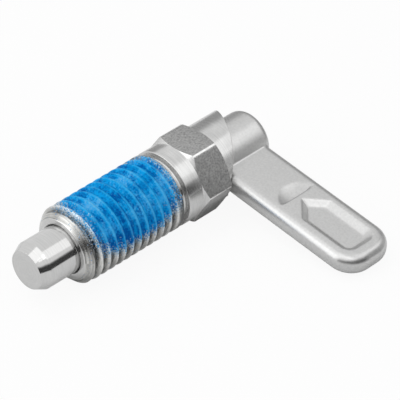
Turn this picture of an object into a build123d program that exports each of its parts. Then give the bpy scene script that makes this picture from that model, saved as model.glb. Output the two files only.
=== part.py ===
from build123d import *
from math import asin, degrees, radians, sqrt, tan
import os

# Locking bolt with a turning lever, in millimetres.
# The bolt axis lies along X: the pin points to -X and the lever's hub to +X.
# The bolt lies on one flat of its hexagon, so +Z is up, and the lever's arm points to -Y.
# The origin is on the bolt axis, at the middle of the threaded shank.

# Threaded shank, as the plain rod of the major diameter that its thread is cut in.
thread_diameter = 16.0
thread_length = 24.6
thread_chamfer = 1.75

# Relief groove behind the thread, and the plain neck after it.
relief_width = 1.5
relief_depth = 1.3
neck_diameter = 16.0
neck_length = 3.65

# Hexagon, with its corners turned down and a cone at each end.
hex_across_flats = 16.0
hex_corner_diameter = 18.0
hex_length = 7.3
hex_front_cone = 0.7
hex_rear_cone = 0.7

# Cam collar: a sleeve whose rim climbs both ways from a valley under the arm to a crest.
collar_diameter = 15.6
cam_rise = 12.6
cam_foot_depth = 0.6
cam_crest_land = 0.3

# Bore for the pin, and the web behind it that the spring pushes against.
web_thickness = 3.0
web_to_hex_rear = 2.4
bore_mouth_chamfer = 0.25

# Locking pin: nose, guided length and stem are turned from one bar.
pin_diameter = 10.0
pin_protrusion = 8.85
pin_guide_length = 12.15
nose_taper_length = 2.05
nose_end_diameter = 8.0
stem_diameter = 6.0
stem_end_chamfer = 0.5

# Compression spring round the stem. Its wire is drawn with a few flat sides to keep the coils light.
wire_diameter = 1.0
wire_sides = 8
spring_coils = 5.5

# Lever: a round hub and a flat arm, cast as one piece.
hub_diameter = 11.6
hub_length = 16.1
hub_edge_radius = 1.6
hub_end_wall = 2.4
arm_thickness = 4.6
arm_width = 13.2
arm_reach = 40.1
arm_tip_radius = 5.2
arm_edge_radius = 2.0
arm_below_axis = 0.3
arm_droop = 7.5

# Thumb recesses in the arm's upper face: a crescent scoop, and a pocket with a pointed root.
scoop_from_axis = 19.4
scoop_width = 9.2
scoop_reach = 3.5
scoop_depth = 0.9
pocket_point_from_axis = 20.4
pocket_width = 8.2
pocket_end_margin = 3.1
pocket_corner_radius = 2.6
pocket_depth = 1.1
pocket_wall_angle = 40.0
pocket_far_wall_angle = 33.0

# Cross pin that holds the hub on the stem, pressed in from the side away from the arm.
cross_pin_diameter = 3.0
cross_pin_cover = 0.2
cross_hole_end_wall = 1.5
cross_pin_end_chamfer = 0.3

# Clearances.
pin_clearance = 0.05
stem_clearance = 0.05
hub_clearance = 0.08
hub_end_gap = 0.3
stem_end_gap = 0.2
cross_pin_end_gap = 0.1
cam_clearance = 0.05
spring_end_clearance = 0.05

# Places along the bolt axis.
front_x = -thread_length / 2
thread_end_x = thread_length / 2
groove_end_x = thread_end_x + relief_width
hex_front_x = groove_end_x + neck_length
hex_rear_x = hex_front_x + hex_length
web_rear_x = hex_rear_x - web_to_hex_rear
web_front_x = web_rear_x - web_thickness
pin_end_x = front_x - pin_protrusion
shoulder_x = front_x + pin_guide_length
hub_front_x = web_rear_x + hub_end_gap
hub_rear_x = hub_front_x + hub_length
cam_foot_x = hex_rear_x - cam_foot_depth
crest_x = cam_foot_x + cam_rise

# Radii of the fits.
thread_radius = thread_diameter / 2
collar_radius = collar_diameter / 2
hub_radius = hub_diameter / 2
hub_bore_radius = hub_radius + hub_clearance
pin_radius = pin_diameter / 2
pin_bore_radius = pin_radius + pin_clearance
stem_radius = stem_diameter / 2


def turned(*outline):
    """Solid of revolution about X from points of distance along the axis and radius."""
    return revolve(make_face(Polyline(*outline, close=True)), Axis.X)


def rod(start_x, end_x, radius):
    """Plain cylinder on the bolt axis."""
    return turned((start_x, 0), (end_x, 0), (end_x, radius), (start_x, radius))


def rim_height(angle):
    """Place of the cam rim along X, at an angle in degrees from the middle of its valley."""
    return cam_foot_x + cam_rise * abs(angle) / 180


def valley_turn():
    """Angle round the bolt axis from the arm's own direction to the middle of the valley under it."""
    return degrees(asin(arm_below_axis / hub_bore_radius))


def arm_front():
    """Place of the arm's rounded front edge, resting between the flanks of the valley."""
    flat_half = arm_thickness / 2 - arm_edge_radius
    places = [hex_rear_x]
    for step in range(-100, 101):
        past_flat = step / 100 * arm_edge_radius
        across = past_flat + (flat_half if step > 0 else -flat_half)
        rounding = arm_edge_radius - sqrt(arm_edge_radius**2 - past_flat**2)
        for radius in (hub_bore_radius, collar_radius):
            angle = degrees(asin((arm_below_axis + across) / radius)) - valley_turn()
            places.append(rim_height(angle) - rounding)
    return max(places) + cam_clearance


arm_front_x = arm_front()
arm_middle_x = arm_front_x + arm_width / 2
arm_top_z = arm_thickness / 2 - arm_below_axis


def shank_and_neck():
    """Chamfered shank, relief groove and neck, as one turned outline."""
    groove_radius = thread_radius - relief_depth
    chamfer_radius = thread_radius - thread_chamfer
    return turned(
        (front_x, 0),
        (front_x, chamfer_radius),
        (front_x + thread_chamfer, thread_radius),
        (thread_end_x, thread_radius),
        (thread_end_x, groove_radius),
        (groove_end_x, groove_radius),
        (groove_end_x, neck_diameter / 2),
        (hex_front_x, neck_diameter / 2),
        (hex_front_x, 0),
    )


def hexagon():
    """Hexagon with flats above and below, cut by the cones that scallop its flats."""
    section = Plane.YZ * RegularPolygon(hex_across_flats / 2, 6, major_radius=False)
    prism = Pos(hex_front_x, 0, 0) * extrude(section, hex_length)
    corner_radius = hex_corner_diameter / 2
    envelope = turned(
        (hex_front_x, 0),
        (hex_front_x, neck_diameter / 2),
        (hex_front_x + hex_front_cone, corner_radius),
        (hex_rear_x - hex_rear_cone, corner_radius),
        (hex_rear_x, collar_radius),
        (hex_rear_x, 0),
    )
    return prism & envelope


def cam_flank(side):
    """Half of the cam: radial sections whose height grows evenly with the angle."""
    steps = 9
    foot_angle = 180 * cam_foot_depth / cam_rise
    inner = hub_bore_radius - 1
    outer = collar_radius + 1
    base_x = hex_rear_x - 1
    sections = []
    for step in range(steps + 1):
        angle = foot_angle + (180 - foot_angle) * step / steps
        top_x = rim_height(angle)
        corners = [(base_x, -inner), (top_x, -inner), (top_x, -outer), (base_x, -outer)]
        section = make_face(Polyline(*corners, close=True))
        sections.append(Rot(side * angle, 0, 0) * section)
    return loft(sections)


def cam_collar():
    """Sleeve round the hub, cut to the two helical flanks and a small land at the crest."""
    sleeve = rod(hex_rear_x - 1, crest_x - cam_crest_land, collar_radius)
    cam = (cam_flank(1) & sleeve) + (cam_flank(-1) & sleeve)
    return Rot(arm_droop + valley_turn(), 0, 0) * cam


def make_body():
    """Shank, neck, hexagon and cam collar in one piece, bored from both ends."""
    solid = shank_and_neck() + hexagon() + cam_collar()
    mouth_radius = pin_bore_radius + bore_mouth_chamfer
    solid -= turned(
        (front_x, 0),
        (front_x, mouth_radius),
        (front_x + bore_mouth_chamfer, pin_bore_radius),
        (web_front_x, pin_bore_radius),
        (web_front_x, stem_radius + stem_clearance),
        (web_rear_x, stem_radius + stem_clearance),
        (web_rear_x, hub_bore_radius),
        (crest_x, hub_bore_radius),
        (crest_x, 0),
    )
    return solid


def cross_hole():
    """Blind hole through hub and stem, square to the bolt axis, opening away from the arm."""
    depth = 2 * hub_radius - cross_hole_end_wall
    hole = Cylinder(cross_pin_diameter / 2, depth, align=(Align.CENTER, Align.CENTER, Align.MAX))
    return Pos(arm_middle_x, hub_radius, 0) * Rot(-90, 0, 0) * hole


def make_locking_pin():
    """Tapered nose, guided length, spring shoulder and the stem that carries the hub."""
    stem_end_x = hub_rear_x - hub_end_wall - stem_end_gap
    solid = turned(
        (pin_end_x, 0),
        (pin_end_x, nose_end_diameter / 2),
        (pin_end_x + nose_taper_length, pin_radius),
        (shoulder_x, pin_radius),
        (shoulder_x, stem_radius),
        (stem_end_x - stem_end_chamfer, stem_radius),
        (stem_end_x, stem_radius - stem_end_chamfer),
        (stem_end_x, 0),
    )
    return solid - Rot(arm_droop, 0, 0) * cross_hole()


def make_spring():
    """Round wire wound between the pin's shoulder and the web, with plain ends."""
    start_x = shoulder_x + spring_end_clearance + wire_diameter / 2
    run = web_front_x - spring_end_clearance - wire_diameter / 2 - start_x
    coil_radius = (pin_bore_radius + stem_radius) / 2
    centre_line = Helix(run / spring_coils, run, coil_radius, (start_x, 0, 0), (1, 0, 0))
    wire_end = Plane(centre_line @ 0, z_dir=centre_line % 0) * RegularPolygon(wire_diameter / 2, wire_sides)
    return sweep(wire_end, centre_line, is_frenet=True)


def arm_blank():
    """Flat bar from the bolt axis to its rounded tip, with all edges rounded."""
    outline = Rectangle(arm_width, arm_reach, align=(Align.CENTER, Align.MAX))
    outline = fillet(outline.vertices().sort_by(Axis.Y)[:2], arm_tip_radius)
    bar = Pos(arm_middle_x, 0, arm_top_z - arm_thickness) * extrude(outline, arm_thickness)
    faces = bar.faces().sort_by(Axis.Z)
    return fillet(faces[0].edges() + faces[-1].edges(), arm_edge_radius)


def scoop():
    """Crescent hollow: a shallow ball cut that stops at a straight wall."""
    plan_radius = ((scoop_width / 2) ** 2 + scoop_reach**2) / (2 * scoop_reach)
    middle_y = -scoop_from_axis + scoop_reach - plan_radius
    wall_offset = plan_radius - scoop_reach
    slope_gap = plan_radius**2 - wall_offset**2
    ball_radius = sqrt(plan_radius**2 + ((slope_gap - scoop_depth**2) / (2 * scoop_depth)) ** 2)
    middle_z = arm_top_z + sqrt(ball_radius**2 - plan_radius**2)
    ball = Pos(arm_middle_x, middle_y, middle_z) * Sphere(ball_radius)
    keep = Box(arm_width, 2 * scoop_reach, arm_thickness, align=(Align.CENTER, Align.MIN, Align.MIN))
    return ball & Pos(arm_middle_x, -scoop_from_axis, 0) * keep


def pocket_outline(depth):
    """Pointed outline of the pocket at a depth below the arm's face, drawn in by its sloping walls."""
    inset = depth / tan(radians(pocket_wall_angle))
    near_x = inset - pocket_width / 2
    far_x = pocket_width / 2 - depth / tan(radians(pocket_far_wall_angle))
    point_y = -pocket_point_from_axis - inset * sqrt(2)
    end_y = -arm_reach + pocket_end_margin + inset
    far_side = [(far_x, point_y - far_x), (far_x, end_y)]
    near_side = [(near_x, end_y), (near_x, point_y + near_x)]
    outline = make_face(Polyline((0, point_y), *far_side, *near_side, close=True))
    outline = fillet(outline.vertices().sort_by(Axis.Y)[:2], pocket_corner_radius - inset)
    return Pos(arm_middle_x, 0, arm_top_z - depth) * outline


def pocket():
    """Thumb pocket: steep walls round its pointed root and near side, and a shallow far wall."""
    return loft([pocket_outline(0), pocket_outline(pocket_depth)], ruled=True)


def make_lever():
    """Hub and arm, with the recesses in the arm and the bores in the hub."""
    hub = rod(hub_front_x, hub_rear_x, hub_radius)
    hub = fillet(hub.edges().sort_by(Axis.X)[-1], hub_edge_radius)
    solid = hub + (arm_blank() - scoop() - pocket())
    solid -= rod(hub_front_x, hub_rear_x - hub_end_wall, stem_radius)
    solid -= cross_hole()
    return Rot(arm_droop, 0, 0) * solid


def make_cross_pin():
    """Dowel that fills the cross hole, a little below the hub's surface."""
    length = 2 * hub_radius - cross_hole_end_wall - cross_pin_cover - cross_pin_end_gap
    dowel = Cylinder(cross_pin_diameter / 2, length, align=(Align.CENTER, Align.CENTER, Align.MAX))
    dowel = chamfer(dowel.edges().filter_by(GeomType.CIRCLE), cross_pin_end_chamfer)
    return Rot(arm_droop, 0, 0) * Pos(arm_middle_x, hub_radius - cross_pin_cover, 0) * Rot(-90, 0, 0) * dowel


pieces = {
    "body": make_body(),
    "locking_pin": make_locking_pin(),
    "compression_spring": make_spring(),
    "lever": make_lever(),
    "cross_pin": make_cross_pin(),
}

os.makedirs("parts", exist_ok=True)
for name, piece in pieces.items():
    export_step(piece, f"parts/{name}.step")
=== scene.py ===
import bpy
from collections import namedtuple
from math import acos, asin, cos, degrees, radians, sin
from mathutils import Matrix, Vector


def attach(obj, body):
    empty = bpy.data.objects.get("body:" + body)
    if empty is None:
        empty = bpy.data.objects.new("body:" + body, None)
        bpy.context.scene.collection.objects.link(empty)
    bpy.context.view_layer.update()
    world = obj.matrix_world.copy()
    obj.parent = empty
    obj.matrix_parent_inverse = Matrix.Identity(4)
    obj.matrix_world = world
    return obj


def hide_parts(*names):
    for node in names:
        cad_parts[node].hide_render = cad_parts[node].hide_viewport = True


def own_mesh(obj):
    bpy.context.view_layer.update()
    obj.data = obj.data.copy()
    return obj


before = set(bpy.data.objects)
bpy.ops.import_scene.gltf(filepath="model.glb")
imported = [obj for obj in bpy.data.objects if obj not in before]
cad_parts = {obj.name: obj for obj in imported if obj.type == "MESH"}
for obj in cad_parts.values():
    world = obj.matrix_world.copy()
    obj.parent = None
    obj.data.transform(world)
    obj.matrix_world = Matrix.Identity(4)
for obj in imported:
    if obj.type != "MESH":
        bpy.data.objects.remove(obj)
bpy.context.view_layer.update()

MM = 0.001

# Sizes of the bolt in millimetres, along its axis X and round it.
FRONT_X = -12.3
THREAD_END_X = 12.3
THREAD_RADIUS = 8.0
THREAD_CHAMFER = 1.75
RELIEF_DEPTH = 1.3
GROOVE_END_X = 13.8
HEX_FRONT_X = 17.45
HEX_REAR_X = 24.75
HEX_CONE = 0.7
HEX_FLAT = 8.0
HEX_CORNER = 9.05
COLLAR_RADIUS = 7.8
CAM_FOOT_X = 24.15
CAM_RISE = 12.6
CAM_LAND = 0.3
HUB_BORE = 5.88
PIN_BORE = 5.05
STEM_BORE = 3.05
BORE_MOUTH = 0.25
WEB_FRONT_X = 19.35
WEB_REAR_X = 22.35
ARM_BELOW_AXIS = 0.3
ARM_DROOP = 7.5
ARM_ANGLE = 180 + ARM_DROOP + degrees(asin(ARM_BELOW_AXIS / HUB_BORE))

# Thread: its pitch, its depth bare and under the coat, the share of a turn that its crest is set on
# by, the spacing of its rows of points, the strip left free of them at each end of the shank, and how
# far before the shank's end its groove starts to run out and is gone.
PITCH = 2.0
THREAD_DEPTH = 1.15
COATED_DEPTH = 0.60
THREAD_PHASE = 0.07
THREAD_STEP = 0.1
THREAD_MARGIN = 0.15
RUN_OUT_START = 1.4
RUN_OUT_END = 0.7

# Form of one turn, in shares of the pitch from its crest: where the rounded and the straight part
# of the fall start and end, the share of the rounded part, and the crest value of the turned chamfer, which
# sets its painted shade.
ROUND_FALL = (0.04, 0.42)
STRAIGHT_FALL = (0.06, 0.38)
ROUND_SHARE = 0.45
CHAMFER_CREST = 0.6

# The patch of thread lock: its middle and half lengths along the axis and in degrees round it,
# how square its outline is, and the shares of its reach where it starts to thin and where it ends.
COAT_MIDDLE_X = 1.3
COAT_HALF_LENGTH = 11.3
COAT_MIDDLE_ANGLE = 109
COAT_HALF_ANGLE = 81
COAT_SQUARENESS = 3.2
COAT_FADE = (0.66, 1.18)

# Roundings of the body's edges and roots, the lean of the groove's walls, the step between two rows
# of points that would otherwise fall together, and each rounding's number of steps and the largest
# share of a side that it takes.
FINE_EDGE = 0.1
BROKEN_EDGE = 0.15
GROOVE_ROOT = 0.3
FLAT_EDGE = 0.05
COLLAR_ROOT = 0.02
RIM_EDGE = 0.22
WALL_LEAN = 0.1
ROW_STEP = 0.001
ROUNDING_STEPS = 3
ROUNDING_SHARE = 0.45

# Columns of points round the body, in degrees: their spacing, how far the columns beside an edge of
# a flat stand from it, half the angle that a flat takes up between the turned-down corners, and the
# turn between two faces that makes a crease.
COLUMN_STEP = 1.5
EDGE_TURN = 0.9
HALF_FLAT = degrees(acos(HEX_FLAT / HEX_CORNER))
CREASE_ANGLE = 32

# Materials of the body: turned surfaces, thread, flats of the hexagon, bores, and rubbed edges.
TURNED, THREADED, FLATS, BORED, EDGES = range(5)

# Lever's casting: the grid in metres that its skin is laid on, and the passes that soften it.
CAST_GRID = 0.00018
CAST_EASING = 7

# Gap in metres that is closed between the faces of a CAD mesh.
WELD_GAP = 0.000002

bolt_scene = bpy.context.scene
bolt_scene.view_settings.view_transform = "Standard"


# Meshes

# One point of a radial section of the body, with its nearness to a crest and its cover of coat.
Spot = namedtuple("Spot", "x r slot crest cover", defaults=(0.0, 0.0))


def smoothed(mesh, sharp_angle):
    """Smooth shading, with a crease wherever two faces meet at more than the angle in degrees."""
    for face in mesh.polygons:
        face.use_smooth = True
    mesh.set_sharp_from_angle(angle=radians(sharp_angle))


def rounded(corners):
    """Profile of corners (x, radius, rounding, slot), each with a rounding replaced by a short arc."""
    path = []
    for index, (x, r, rounding, slot) in enumerate(corners):
        here = Vector((x, r))
        if rounding <= 0:
            path.append(Spot(x, r, slot))
            continue
        before = Vector(corners[index - 1][:2]) - here
        after = Vector(corners[(index + 1) % len(corners)][:2]) - here
        reach = min(rounding, before.length * ROUNDING_SHARE, after.length * ROUNDING_SHARE)
        start = here + before.normalized() * reach
        end = here + after.normalized() * reach
        for step in range(ROUNDING_STEPS + 1):
            t = step / ROUNDING_STEPS
            point = start * (1 - t) ** 2 + here * 2 * t * (1 - t) + end * t**2
            path.append(Spot(point.x, point.y, slot))
    return path


def wrap(angle):
    """Angle in degrees brought between -180 and 180."""
    return (angle + 180) % 360 - 180


def from_flat(angle):
    """Angle from the middle of the nearest flat of the hexagon, from -30 to 30."""
    return angle % 60 - 30


def hexagon_radius(angle):
    """Radius of the hexagon's outline, its corners turned down, at an angle round the axis."""
    return min(HEX_FLAT / cos(radians(from_flat(angle))), HEX_CORNER)


def rim_x(angle):
    """Place of the cam rim: a constant climb both ways from its valley, up to the land at the crest."""
    climbed = CAM_RISE * abs(wrap(angle - ARM_ANGLE)) / 180
    return max(min(CAM_FOOT_X + climbed, CAM_FOOT_X + CAM_RISE - CAM_LAND), HEX_REAR_X + COLLAR_ROOT)


def climb(value, low, high):
    """0 up to the low value, 1 from the high one, and a straight climb between."""
    return max(0.0, min(1.0, (value - low) / (high - low)))


def smooth_step(value, low, high):
    """The same climb, with eased ends."""
    t = climb(value, low, high)
    return t * t * (3 - 2 * t)


def coat_cover(x, angle):
    """How thickly the sprayed thread lock covers a spot, 1 inside the patch and 0 well outside."""
    round_way = abs(wrap(angle - COAT_MIDDLE_ANGLE)) / COAT_HALF_ANGLE
    along = abs(x - COAT_MIDDLE_X) / COAT_HALF_LENGTH
    reach = (round_way**COAT_SQUARENESS + along**COAT_SQUARENESS) ** (1 / COAT_SQUARENESS)
    return 1 - smooth_step(reach, *COAT_FADE)


def thread_spot(x, angle):
    """Point of a right-handed thread, shallower under the coat and cut off by the front chamfer."""
    phase = (x / PITCH - angle / 360 + THREAD_PHASE) % 1
    from_crest = min(phase, 1 - phase)
    cover = coat_cover(x, angle)
    depth = THREAD_DEPTH + (COATED_DEPTH - THREAD_DEPTH) * cover
    round_part = smooth_step(from_crest, *ROUND_FALL)
    straight_part = climb(from_crest, *STRAIGHT_FALL)
    drop = ROUND_SHARE * round_part + (1 - ROUND_SHARE) * straight_part
    r = THREAD_RADIUS - depth * drop
    r += (THREAD_RADIUS - r) * smooth_step(x, THREAD_END_X - RUN_OUT_START, THREAD_END_X - RUN_OUT_END)
    chamfer = THREAD_RADIUS - THREAD_CHAMFER + x - FRONT_X
    if r > chamfer:
        return Spot(x, chamfer, THREADED, CHAMFER_CREST, cover)
    return Spot(x, r, THREADED, 1 - drop, cover)


def body_columns():
    """Angles round the body, with three across each edge of every flat of the hexagon."""
    angles = {round(step * COLUMN_STEP, 3) for step in range(round(360 / COLUMN_STEP))}
    for flat in range(6):
        for side in (-1, 1):
            edge = 30 + 60 * flat + side * HALF_FLAT
            angles = {a for a in angles if abs(wrap(a - edge)) > 2 * EDGE_TURN}
            angles |= {round((edge + turn) % 360, 3) for turn in (-EDGE_TURN, 0, EDGE_TURN)}
    return sorted(angles)


def body_profile(angle):
    """One radial section of the body, from the bore round the outside and back into the bore."""
    r_hex = hexagon_radius(angle)
    front_cone = HEX_CONE * (r_hex - THREAD_RADIUS) / (HEX_CORNER - THREAD_RADIUS)
    rear_cone = HEX_CONE * (r_hex - COLLAR_RADIUS) / (HEX_CORNER - COLLAR_RADIUS)
    groove_radius = THREAD_RADIUS - RELIEF_DEPTH
    rim = rim_x(angle)
    mouth = rounded([
        (WEB_FRONT_X, STEM_BORE, 0, BORED),
        (WEB_FRONT_X, PIN_BORE, 0, BORED),
        (FRONT_X + BORE_MOUTH, PIN_BORE, FINE_EDGE, TURNED),
        (FRONT_X, PIN_BORE + BORE_MOUTH, FINE_EDGE, TURNED),
        (FRONT_X, THREAD_RADIUS - THREAD_CHAMFER, BROKEN_EDGE, TURNED),
        (FRONT_X + THREAD_CHAMFER, THREAD_RADIUS, 0, TURNED),
    ])[:-1]
    thread_start = FRONT_X + THREAD_MARGIN
    thread_steps = round((THREAD_END_X - THREAD_MARGIN - thread_start) / THREAD_STEP)
    thread = [thread_spot(thread_start + step * THREAD_STEP, angle) for step in range(thread_steps + 1)]
    behind = rounded([
        (THREAD_END_X - WALL_LEAN, THREAD_RADIUS, 0, THREADED),
        (THREAD_END_X, THREAD_RADIUS, BROKEN_EDGE, EDGES),
        (THREAD_END_X + WALL_LEAN, groove_radius, GROOVE_ROOT, TURNED),
        (GROOVE_END_X - WALL_LEAN, groove_radius, GROOVE_ROOT, TURNED),
        (GROOVE_END_X, THREAD_RADIUS, BROKEN_EDGE, TURNED),
        (HEX_FRONT_X, THREAD_RADIUS, FINE_EDGE, TURNED),
        (HEX_FRONT_X + front_cone + ROW_STEP, r_hex, FLAT_EDGE, FLATS),
        (HEX_REAR_X - rear_cone - ROW_STEP, r_hex, FLAT_EDGE, TURNED),
        (HEX_REAR_X, COLLAR_RADIUS, COLLAR_ROOT, TURNED),
        (rim, COLLAR_RADIUS, RIM_EDGE, TURNED),
        (rim, HUB_BORE, BROKEN_EDGE, BORED),
        (WEB_REAR_X, HUB_BORE, 0, BORED),
        (WEB_REAR_X, STEM_BORE, 0, BORED),
    ])
    return mouth + thread + behind


def make_body(materials):
    """The turned body as one closed surface, a ring of radial sections."""
    angles = body_columns()
    columns = [body_profile(angle) for angle in angles]
    rows = len(columns[0])
    mesh = bpy.data.meshes.new("turned_body")
    points, faces, slots = [], [], []
    for angle, column in zip(angles, columns):
        y, z = cos(radians(angle)), sin(radians(angle))
        points += [Vector((spot.x, spot.r * y, spot.r * z)) * MM for spot in column]
    for here, angle in enumerate(angles):
        there = (here + 1) % len(angles)
        middle = angle + wrap(angles[there] - angle) / 2
        on_corner = abs(from_flat(middle)) > HALF_FLAT + EDGE_TURN
        for row in range(rows):
            after = (row + 1) % rows
            faces.append((here * rows + row, here * rows + after, there * rows + after, there * rows + row))
            slot = columns[here][row].slot
            slots.append(EDGES if slot == FLATS and on_corner else slot)
    mesh.from_pydata(points, [], faces)
    for material in materials:
        mesh.materials.append(material)
    mesh.polygons.foreach_set("material_index", slots)
    smoothed(mesh, CREASE_ANGLE)
    # The crest value drives the painted shade in the thread's roots and the painted highlight on its
    # crests.
    for name in ("crest", "cover"):
        attribute = mesh.attributes.new(name, "FLOAT", "POINT")
        attribute.data.foreach_set("value", [getattr(spot, name) for column in columns for spot in column])
    body = bpy.data.objects.new("turned_body", mesh)
    bolt_scene.collection.objects.link(body)
    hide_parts("body")
    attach(body, "housing")


def copied(name, node):
    """A new object with a copy of a CAD node's mesh, in the same place."""
    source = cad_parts[node]
    piece = bpy.data.objects.new(name, source.data.copy())
    bolt_scene.collection.objects.link(piece)
    piece.matrix_world = source.matrix_world
    return piece


def weld(piece):
    """Joins the faces of a CAD mesh along their common edges."""
    piece.modifiers.new("weld", "WELD").merge_threshold = WELD_GAP


def make_casting(material):
    """The lever as cast: the CAD lever's own form with every edge and root softened."""
    lever = copied("cast_lever", "lever")
    weld(lever)
    skin = lever.modifiers.new("skin", "REMESH")
    skin.mode = "VOXEL"
    skin.voxel_size = CAST_GRID
    ease = lever.modifiers.new("ease", "SMOOTH")
    ease.factor = 0.5
    ease.iterations = CAST_EASING
    bpy.context.view_layer.update()
    eased = bpy.data.meshes.new_from_object(lever.evaluated_get(bpy.context.evaluated_depsgraph_get()))
    lever.modifiers.clear()
    lever.data = eased
    eased.name = "cast_lever"
    for face in eased.polygons:
        face.use_smooth = True
    eased.materials.clear()
    eased.materials.append(material)
    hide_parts("lever")
    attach(lever, "plunger")


def make_spring(material):
    """A copy of the CAD spring with a mesh of its own, hung on the spring's body; the real spring shortens
    towards the web as the pin is drawn in.
    """
    spring = copied("coil_spring", "compression_spring")
    spring.data.materials.clear()
    spring.data.materials.append(material)
    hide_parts("compression_spring")
    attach(spring, "spring_turn")
    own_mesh(spring)


def dress(node, material, edge_width):
    """Gives a CAD node its material and breaks its sharp edges."""
    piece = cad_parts[node]
    piece.data.materials.clear()
    piece.data.materials.append(material)
    weld(piece)
    edges = piece.modifiers.new("broken edges", "BEVEL")
    edges.width = edge_width
    edges.segments = 3
    edges.limit_method = "ANGLE"
    edges.angle_limit = radians(20)


# Node groups and materials

# Waves of a lathe line for each radian round the axis.
WAVES_ROUND = 1.4

# Depth of the relief on bare metal and on the thread lock, in metres.
METAL_RELIEF = 0.00002
COAT_RELIEF = 0.00006

# Height above the axis where the painted top light on the coat begins and where it is full, in metres.
PAINTED_TOP_LIGHT_HEIGHTS = (0.0024, 0.0072)


def new_group(name, inputs, outputs):
    """Empty shader node group with named number sockets; the inputs come with their defaults."""
    group = bpy.data.node_groups.new(name, "ShaderNodeTree")
    for socket_name, default in inputs:
        socket = group.interface.new_socket(socket_name, in_out="INPUT", socket_type="NodeSocketFloat")
        socket.default_value = default
    for socket_name in outputs:
        group.interface.new_socket(socket_name, in_out="OUTPUT", socket_type="NodeSocketFloat")
    return group, group.nodes.new("NodeGroupInput"), group.nodes.new("NodeGroupOutput")


class Wiring:
    """Short way to add and join the nodes of one tree."""

    def __init__(self, tree):
        self.tree = tree

    def node(self, kind, inputs=None, **settings):
        """New node with its settings, and its inputs set or linked."""
        made = self.tree.nodes.new(kind)
        for key, value in settings.items():
            setattr(made, key, value)
        for key, value in (inputs or {}).items():
            self.feed(value, made.inputs[key])
        return made

    def feed(self, value, socket):
        """Links a socket to an output, or sets it to a plain value."""
        if isinstance(value, bpy.types.NodeSocket):
            self.tree.links.new(value, socket)
        else:
            socket.default_value = value

    def math(self, operation, *values, clamp=False):
        """Result of one step of arithmetic."""
        made = self.node("ShaderNodeMath", operation=operation, use_clamp=clamp)
        for socket, value in zip(made.inputs, values):
            self.feed(value, socket)
        return made.outputs[0]

    def blend(self, share, a, b):
        """Colour a where the share is 0, and b where it is 1."""
        made = self.node("ShaderNodeMix", data_type="RGBA")
        self.feed(share, made.inputs[0])
        self.feed(a, made.inputs[6])
        self.feed(b, made.inputs[7])
        return made.outputs[2]

    def ramp(self, value, low, high):
        """0 up to the low value, 1 from the high one, and a straight climb between."""
        made = self.node("ShaderNodeMapRange", {"Value": value, "From Min": low, "From Max": high})
        return made.outputs["Result"]

    def place(self):
        """Place on the piece, in metres."""
        return self.node("ShaderNodeTexCoord").outputs["Object"]

    def parts(self, vector):
        """X, Y and Z of a vector."""
        return self.node("ShaderNodeSeparateXYZ", {"Vector": vector}).outputs

    def noise(self, place, scale, detail=2.0, roughness=0.5):
        """Uneven shade from 0 to 1, about 0.5 on the whole."""
        inputs = {"Vector": place, "Scale": scale, "Detail": detail, "Roughness": roughness}
        return self.node("ShaderNodeTexNoise", inputs).outputs["Fac"]

    def sway(self, value, noise, amount, clamp=False):
        """A value moved up and down by an amount of noise."""
        return self.math("MULTIPLY_ADD", self.math("SUBTRACT", noise, 0.5), amount, value, clamp=clamp)


def turning_marks_group():
    """Fine lathe lines round the bolt axis that come and go: height and shade from 0 to 1."""
    group, start, end = new_group(
        "turning marks",
        [("Lines per mm", 6.0), ("Contrast", 1.0), ("Unevenness", 0.3)],
        ["Height", "Shade"],
    )
    w = Wiring(group)
    place = w.place()
    parts = w.parts(place)
    around = w.math("ARCTAN2", parts["Z"], parts["Y"])
    y_squared = w.math("POWER", parts["Y"], 2.0)
    across = w.math("SQRT", w.math("ADD", y_squared, w.math("POWER", parts["Z"], 2.0)))
    scale = w.math("MULTIPLY", start.outputs["Lines per mm"], 1 / MM)
    drawn_out = {
        "X": w.math("MULTIPLY", parts["X"], scale),
        "Y": w.math("MULTIPLY", across, scale),
        "Z": w.math("MULTIPLY", around, WAVES_ROUND),
    }
    lines = w.noise(w.node("ShaderNodeCombineXYZ", drawn_out).outputs[0], scale=1.0, detail=3.0)
    lined = w.sway(0.5, lines, start.outputs["Contrast"])
    shade = w.sway(lined, w.noise(place, scale=260.0), start.outputs["Unevenness"], clamp=True)
    group.links.new(lines, end.inputs["Height"])
    group.links.new(shade, end.inputs["Shade"])
    return group


def grain_group():
    """Fine grain of blasted, cast or drawn metal: height and shade from 0 to 1."""
    group, start, end = new_group(
        "metal grain", [("Grains per mm", 3.0), ("Contrast", 1.0)], ["Height", "Shade"]
    )
    w = Wiring(group)
    place = w.place()
    scale = w.math("MULTIPLY", start.outputs["Grains per mm"], 1 / MM)
    grains = w.noise(place, scale, detail=3.0, roughness=0.6)
    spots = w.node("ShaderNodeTexVoronoi", {"Vector": place, "Scale": scale}).outputs["Distance"]
    shade = w.sway(0.5, grains, start.outputs["Contrast"], clamp=True)
    group.links.new(w.math("MULTIPLY_ADD", spots, 0.4, grains), end.inputs["Height"])
    group.links.new(shade, end.inputs["Shade"])
    return group


turning_marks = turning_marks_group()
metal_grain = grain_group()


def new_material(name):
    """Node material with one Principled BSDF, and its wiring."""
    material = bpy.data.materials.new(name)
    material.use_nodes = True
    return material, Wiring(material.node_tree), material.node_tree.nodes["Principled BSDF"]


def neutral(tone):
    """Grey with no tint."""
    return (tone, tone, tone, 1)


def steel_tones(dark, light):
    """Two near-neutral metal colours, a little warm, for the low and the high end of a shade."""
    return (dark, dark, dark * 0.995, 1), (light, light, light * 0.992, 1)


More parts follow.
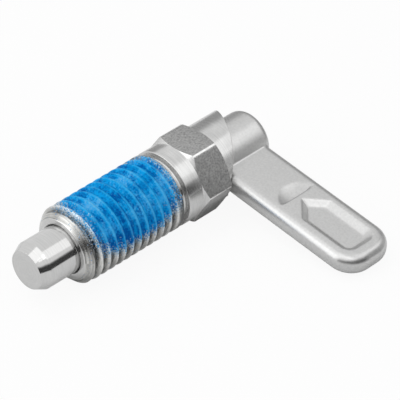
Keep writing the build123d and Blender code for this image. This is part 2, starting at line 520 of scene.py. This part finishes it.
def metal(name, effect, settings, tones, rough, bump):
    """Bare metal whose tone, roughness and bump follow one effect group."""
    material, w, shader = new_material(name)
    marks = w.node("ShaderNodeGroup", settings, node_tree=effect).outputs
    dark, light = steel_tones(*tones)
    smoothest, roughest = rough
    w.feed(w.blend(marks["Shade"], dark, light), shader.inputs["Base Color"])
    shader.inputs["Metallic"].default_value = 1.0
    roughness = w.math("MULTIPLY_ADD", marks["Shade"], roughest - smoothest, smoothest)
    w.feed(roughness, shader.inputs["Roughness"])
    relief = {"Height": marks["Height"], "Strength": bump, "Distance": METAL_RELIEF}
    w.feed(w.node("ShaderNodeBump", relief).outputs["Normal"], shader.inputs["Normal"])
    return material


turned_steel = metal(
    "turned steel", turning_marks, {"Lines per mm": 4.2, "Contrast": 0.75, "Unevenness": 0.9},
    tones=(0.46, 0.72), rough=(0.17, 0.27), bump=0.22,
)
ground_steel = metal(
    "ground steel", turning_marks, {"Lines per mm": 4.5, "Contrast": 0.7, "Unevenness": 0.3},
    tones=(0.48, 0.67), rough=(0.09, 0.16), bump=0.10,
)
drawn_flat = metal(
    "drawn hexagon flat", metal_grain, {"Grains per mm": 2.6, "Contrast": 2.2},
    tones=(0.22, 0.49), rough=(0.36, 0.48), bump=0.6,
)
bright_edge = metal(
    "rubbed edge", metal_grain, {"Grains per mm": 1.2, "Contrast": 2.0},
    tones=(0.60, 0.86), rough=(0.22, 0.34), bump=0.2,
)
cast_steel = metal(
    "blasted casting", metal_grain, {"Grains per mm": 2.2, "Contrast": 1.2},
    tones=(0.48, 0.66), rough=(0.30, 0.38), bump=0.25,
)
bored_steel = metal(
    "bored steel", turning_marks, {"Lines per mm": 4.0, "Contrast": 1.0, "Unevenness": 0.3},
    tones=(0.34, 0.46), rough=(0.35, 0.45), bump=0.3,
)
spring_wire = metal(
    "spring wire", metal_grain, {"Grains per mm": 4.0, "Contrast": 0.8},
    tones=(0.42, 0.52), rough=(0.25, 0.35), bump=0.1,
)

# Colours of the thread lock: the dark and the bright end of its mottled blue, which also holds painted
# shade in the hollows and low down, a painted highlight over a crest, and the pale blue of hazy patches.
DEEP_BLUE = (0.000, 0.115, 0.43, 1)
BRIGHT_BLUE = (0.003, 0.400, 0.87, 1)
CREST_HIGHLIGHT_BLUE = (0.08, 0.50, 0.92, 1)
HAZY_BLUE = (0.20, 0.58, 0.90, 1)

# Colours of the steel beside it: painted shade in the roots, painted highlight on the crests, pale and dark
# specks, and a thin film of the coat.
ROOT_PAINTED_SHADE = (0.115, 0.115, 0.111, 1)
CREST_PAINTED_HIGHLIGHT = (0.74, 0.74, 0.72, 1)
PALE_SPECK = (0.64, 0.69, 0.75, 1)
DARK_SPECK = (0.18, 0.24, 0.28, 1)
BLUE_FILM = (0.20, 0.46, 0.72, 1)


def coat_colour(w, place, crest, flecks, streaks):
    """Blue of the thread lock, clouded and flecked, paler high on the bolt from painted top light and over
    the crests from a painted highlight.
    """
    # Painted top light: 0 low on the bolt, 1 high up, where the coat is made paler.
    painted_top_light = w.ramp(w.parts(place)["Z"], *PAINTED_TOP_LIGHT_HEIGHTS)
    clouds = w.noise(place, scale=170.0, detail=3.0, roughness=0.6)
    patches = w.noise(place, scale=900.0, detail=3.0, roughness=0.6)
    # Painted highlight and shade: nearness to a crest lifts the blue, leaving the hollows darker.
    mottle_and_painted_light = w.math("MULTIPLY", crest, 0.3)
    for noise, amount in ((flecks, 1.8), (patches, 2.0), (clouds, 2.6), (streaks, 1.1)):
        mottle_and_painted_light = w.sway(mottle_and_painted_light, noise, amount)
    # Painted top light lifts the blue towards its bright end.
    mottle_and_painted_light = w.math("MULTIPLY_ADD", painted_top_light, 0.60, mottle_and_painted_light)
    blue = w.blend(w.ramp(mottle_and_painted_light, -0.11, 0.85), DEEP_BLUE, BRIGHT_BLUE)
    # Painted highlight in thin lines along the crests.
    painted_crest_highlight = w.ramp(w.math("MULTIPLY_ADD", clouds, 0.8, crest), 1.18, 1.46)
    blue = w.blend(w.math("MULTIPLY", painted_crest_highlight, 0.6), blue, CREST_HIGHLIGHT_BLUE)
    haze = w.math("MULTIPLY_ADD", clouds, 0.7, w.math("MULTIPLY", flecks, 0.5))
    # Pale hazy patches, let through only where the painted top light is.
    haze_share = w.math("MULTIPLY", w.ramp(haze, 0.60, 0.75), w.math("MULTIPLY", painted_top_light, 0.65))
    return w.blend(haze_share, blue, HAZY_BLUE)


def thread_colour(w, crest, streaks, pale_specks, dark_specks, film):
    """Steel of the thread, with painted shade in its roots and a painted highlight on its crests, and with
    specks and a film near the coat.
    """
    # Painted shade and highlight: nearness to a crest darkens the roots and lights the crests.
    steel = w.blend(w.ramp(w.sway(crest, streaks, 0.7), 0.15, 1.0), ROOT_PAINTED_SHADE, CREST_PAINTED_HIGHLIGHT)
    steel = w.blend(pale_specks, steel, PALE_SPECK)
    steel = w.blend(dark_specks, steel, DARK_SPECK)
    return w.blend(film, steel, BLUE_FILM)


def coated_thread():
    """Steel thread under a sprayed blue coat that breaks into pale and dark specks at its rim."""
    material, w, shader = new_material("thread with blue thread lock")
    cover = w.node("ShaderNodeAttribute", attribute_name="cover").outputs["Fac"]
    crest = w.node("ShaderNodeAttribute", attribute_name="crest").outputs["Fac"]
    place = w.place()
    specks = w.noise(place, scale=3000.0, roughness=0.7)
    flecks = w.noise(place, scale=2300.0, roughness=0.7)
    blotches = w.noise(place, scale=380.0, detail=3.0)
    lathe = {"Lines per mm": 3.0, "Contrast": 1.5, "Unevenness": 0.8}
    streaks = w.node("ShaderNodeGroup", lathe, node_tree=turning_marks).outputs["Shade"]

    coat = w.ramp(w.sway(w.sway(cover, specks, 2.4), blotches, 0.6), 0.42, 0.54)
    near_coat = w.ramp(cover, 0.0, 0.22)
    pale_specks = w.math("MULTIPLY", w.ramp(flecks, 0.56, 0.60), near_coat)
    dark_specks = w.math("MULTIPLY", w.ramp(flecks, 0.46, 0.38), near_coat)
    film = w.math("MULTIPLY", w.ramp(cover, 0.08, 0.70), 0.75)

    blue = coat_colour(w, place, crest, flecks, streaks)
    steel = thread_colour(w, crest, streaks, pale_specks, dark_specks, film)
    w.feed(w.blend(coat, steel, blue), shader.inputs["Base Color"])
    bare = w.math("SUBTRACT", 1.0, coat)
    w.feed(w.math("MULTIPLY", bare, w.math("SUBTRACT", 1.0, pale_specks)), shader.inputs["Metallic"])
    w.feed(w.math("MULTIPLY_ADD", coat, 0.20, 0.26), shader.inputs["Roughness"])
    shader.inputs["Specular IOR Level"].default_value = 0.02
    height = w.math("ADD", coat, w.math("ADD", specks, w.math("MULTIPLY", flecks, near_coat)))
    relief = {"Height": height, "Strength": 0.5, "Distance": COAT_RELIEF}
    w.feed(w.node("ShaderNodeBump", relief).outputs["Normal"], shader.inputs["Normal"])
    return material


make_body([turned_steel, coated_thread(), drawn_flat, bored_steel, bright_edge])
make_casting(cast_steel)
make_spring(spring_wire)
dress("locking_pin", ground_steel, edge_width=0.00040)
dress("cross_pin", ground_steel, edge_width=0.00005)


# Camera at the photograph's viewing angle, far off behind a long lens

camera = bpy.data.cameras.new("camera")
camera.sensor_width = 36
camera.lens = 264.3
camera.clip_end = 10
viewer = bpy.data.objects.new("camera", camera)
bolt_scene.collection.objects.link(viewer)
camera_place = (-0.29734284, -0.32597233, 0.34173951)
right = Vector((0.70788989, -0.70628616, -0.00719491))
up = Vector((0.43298764, 0.42587778, 0.79444938))
turned_to_bolt = Matrix((right, up, right.cross(up))).transposed().to_4x4()
viewer.matrix_world = Matrix.Translation(camera_place) @ turned_to_bolt
bolt_scene.camera = viewer


# Floor, glowing dark and grey sheets beside the bolt that are painted reflections, soft boxes and a white
# surrounding

FLOOR_Z = -0.008
FLOOR_HALF = 3

# White of the floor to the camera and in the metal, and the distances in metres from the metal at
# which that white starts to show in it and is full.
FLOOR_TO_CAMERA = 0.92
FLOOR_IN_METAL = 0.48
FLOOR_CLEAR_OF_BOLT = (0.0045, 0.009)

# Brightness of the surrounding as a light, and what is added where it is seen.
TENT_LIGHT = 0.50
TENT_SEEN = 0.50

# Lamp power for a soft box of brightness 1, in watts for each square metre of it.
BOX_POWER = 4


def seen_rays(w):
    """Two masks: rays straight from the camera, and rays reflected in metal or seen through glass."""
    rays = w.node("ShaderNodeLightPath").outputs
    return rays["Is Camera Ray"], w.math("MAXIMUM", rays["Is Glossy Ray"], rays["Is Transmission Ray"])


def to_surface(w, shader):
    """Makes a shader the surface of the material."""
    w.feed(shader, w.tree.nodes["Material Output"].inputs["Surface"])


def stage_mesh(name, points, faces, material):
    """Part of the set, which isn't part of the bolt."""
    mesh = bpy.data.meshes.new(name)
    mesh.from_pydata(points, [], faces)
    mesh.materials.append(material)
    sheet = bpy.data.objects.new(name, mesh)
    bolt_scene.collection.objects.link(sheet)
    return sheet


def floor_material():
    """Pale paper, whiter to the camera than the light it gives back."""
    material, w, shader = new_material("pale floor")
    fine = w.noise(w.place(), scale=900.0)
    w.feed(w.blend(fine, neutral(0.93), neutral(0.96)), shader.inputs["Base Color"])
    shader.inputs["Roughness"].default_value = 0.9
    shader.inputs["Specular IOR Level"].default_value = 0.1
    glow = w.node("ShaderNodeEmission", {"Color": neutral(1), "Strength": 1.0})
    to_camera, to_metal = seen_rays(w)
    clear_of_bolt = w.ramp(w.node("ShaderNodeLightPath").outputs["Ray Length"], *FLOOR_CLEAR_OF_BOLT)
    in_metal = w.math("MULTIPLY", w.math("MULTIPLY", to_metal, clear_of_bolt), FLOOR_IN_METAL)
    share = w.math("MULTIPLY_ADD", to_camera, FLOOR_TO_CAMERA, in_metal)
    mix = w.node("ShaderNodeMixShader", {"Fac": share})
    w.feed(shader.outputs["BSDF"], mix.inputs[1])
    w.feed(glow.outputs[0], mix.inputs[2])
    to_surface(w, mix.outputs[0])
    return material


floor_plan = ((-1, -1), (1, -1), (1, 1), (-1, 1))
floor_corners = [(x * FLOOR_HALF, y * FLOOR_HALF, FLOOR_Z) for x, y in floor_plan]
stage_mesh("floor", floor_corners, [(0, 1, 2, 3)], floor_material())


def glowing_reflection_sheet(name, start, end, radius, height, shade):
    """Upright sheet round part of the bolt that glows with a set grey and is seen only in the metal: a
    painted reflection, dark or grey, paler towards its top edge.
    """
    material, w, _ = new_material(name)
    up_the_sheet = w.parts(w.node("ShaderNodeTexCoord").outputs["Generated"])["Z"]
    glow = w.node("ShaderNodeEmission", {"Strength": 1.0})
    w.feed(w.blend(w.ramp(up_the_sheet, 0.75, 1.0), neutral(shade), neutral(0.8)), glow.inputs["Color"])
    to_surface(w, glow.outputs[0])
    folds = 48
    points, faces = [], []
    for fold in range(folds + 1):
        a = radians(start + (end - start) * fold / folds)
        points += [(radius * cos(a), radius * sin(a), z) for z in (FLOOR_Z, height)]
        if fold:
            k = 2 * fold
            faces.append((k - 2, k, k + 1, k - 1))
    glow_sheet = stage_mesh(name, points, faces, material)
    for flag in ("visible_camera", "visible_diffuse", "visible_shadow", "visible_transmission"):
        setattr(glow_sheet, flag, False)


# Painted reflections: dark and grey bands put into the metal by glowing sheets that nothing else sees.
glowing_reflection_sheet("dark front glowing sheet", start=195, end=303, radius=0.095, height=0.040, shade=0.06)
glowing_reflection_sheet("grey side glowing sheet", start=303, end=319, radius=0.095, height=0.040, shade=0.42)
glowing_reflection_sheet("pale side glowing sheet", start=319, end=336, radius=0.095, height=0.031, shade=0.56)
glowing_reflection_sheet("grey back glowing sheet", start=-24, end=60, radius=0.090, height=0.045, shade=0.42)


def soft_box(name, place, along, size, brightness, in_metal=True):
    """Lamp sheet facing the bolt, its first side laid along a direction, seen in the metal or not."""
    light = bpy.data.lights.new(name, "AREA")
    light.shape = "RECTANGLE"
    light.size, light.size_y = size
    light.energy = BOX_POWER * size[0] * size[1] * brightness
    away = Vector(place).normalized()
    first = (Vector(along) - away * away.dot(Vector(along))).normalized()
    lamp = bpy.data.objects.new(name, light)
    facing_bolt = Matrix((first, away.cross(first), away)).transposed().to_4x4()
    lamp.matrix_world = Matrix.Translation(place) @ facing_bolt
    lamp.visible_glossy = in_metal
    bolt_scene.collection.objects.link(lamp)


# Name, place, direction of the first side, lengths of both sides, and brightness.
soft_box("front soft box", (0.45, -0.33, 0.57), (0, -0.88, -0.47), (0.50, 0.60), 0.35)
soft_box("overhead soft box", (-0.35, -0.075, 0.76), (0, 1, 0), (0.79, 0.66), 0.44)
soft_box("low left soft box", (-0.53, 0.27, 0.29), (0, 0, 1), (0.54, 0.54), 0.78)
soft_box("near soft box", (-0.175, -0.48, 0.70), (0, 0, 1), (0.30, 0.30), 0.74)
soft_box("ceiling", (-0.10, 0.40, 0.90), (1, 0, 0), (0.60, 0.60), 1.0, in_metal=False)

world = bpy.data.worlds.new("tent")
bolt_scene.world = world
world.use_nodes = True
tent = Wiring(world.node_tree)
background = world.node_tree.nodes["Background"]
background.inputs["Color"].default_value = neutral(1)
seen = tent.math("MAXIMUM", *seen_rays(tent))
tent.feed(tent.math("MULTIPLY_ADD", seen, TENT_SEEN, TENT_LIGHT), background.inputs["Strength"])
